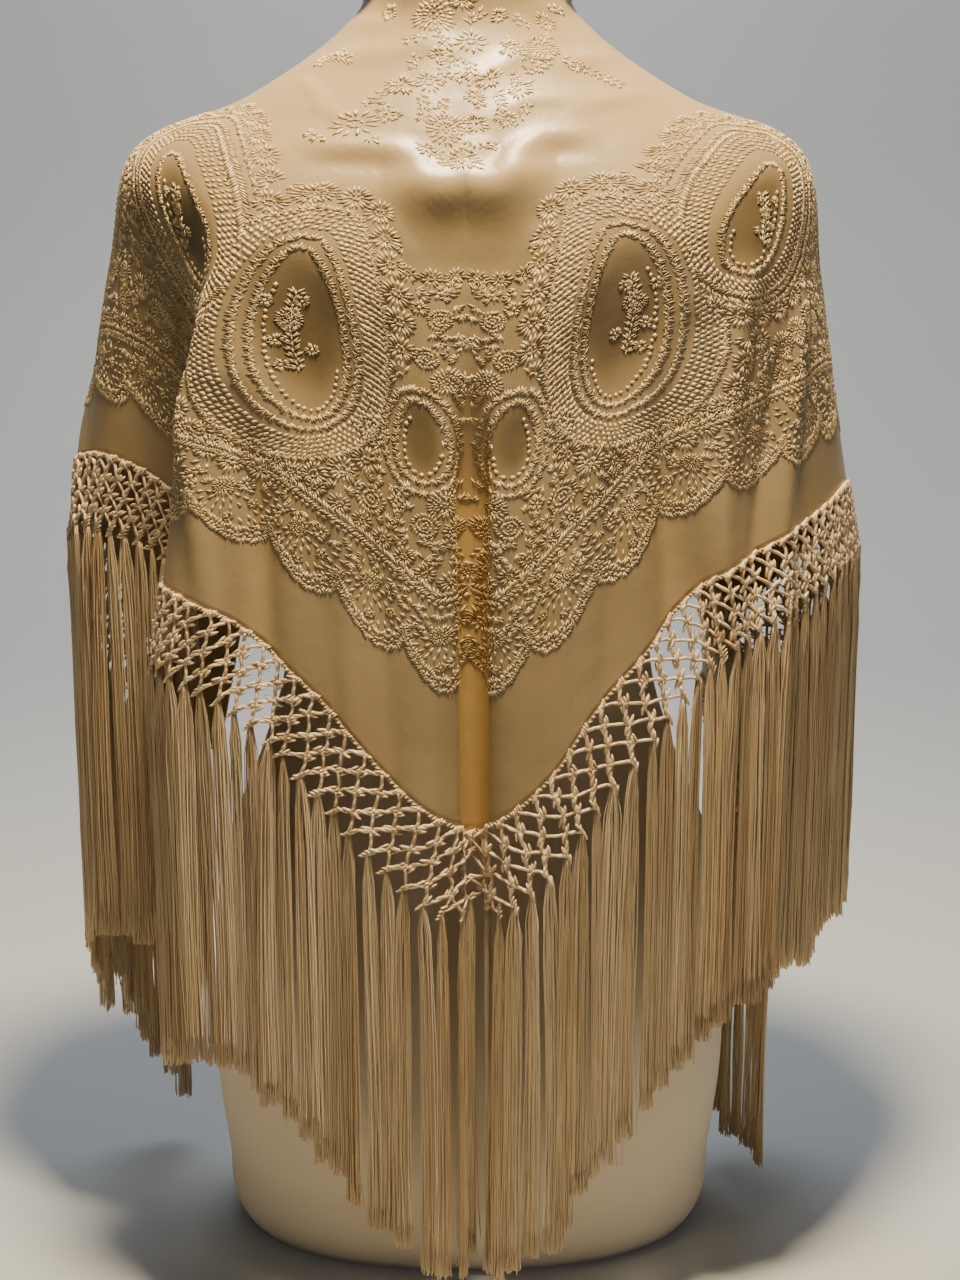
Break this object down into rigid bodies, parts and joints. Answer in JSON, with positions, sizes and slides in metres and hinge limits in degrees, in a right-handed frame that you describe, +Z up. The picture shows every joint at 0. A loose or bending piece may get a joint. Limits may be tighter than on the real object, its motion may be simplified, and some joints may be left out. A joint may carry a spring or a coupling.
{
  "type": "flamenco shawl on a dress form",
  "caption": "Triangular silk shawl with a knotted net and a long fringe on its two short edges, draped over the shoulders of a limbless dress form, open at the front.",
  "frame": {"origin": "centre of the form's flat base, on the surface it stands on", "axes": "+Z up; -Y towards the side the picture shows, the wearer's back; +X towards the wearer's right"},
  "size_m": [0.493, 0.2864, 0.839],
  "materials": {
    "form_cover": "smooth matte stretch cover",
    "silk_crepe": "soft satin sheen, tone-on-tone raised silk embroidery",
    "silk_net": "twisted silk cord, hand-knotted",
    "silk_fringe": "flat skeins of fine silk threads"
  },
  "bodies": {
    "root": {"dress_form": "form_cover", "shawl_cloth": "silk_crepe", "net_left": "silk_net", "net_right": "silk_net", "fringe_back_left": "silk_fringe", "fringe_side_left": "silk_fringe", "fringe_front_left": "silk_fringe", "fringe_back_right": "silk_fringe", "fringe_side_right": "silk_fringe", "fringe_front_right": "silk_fringe"}
  },
  "joints": []
}
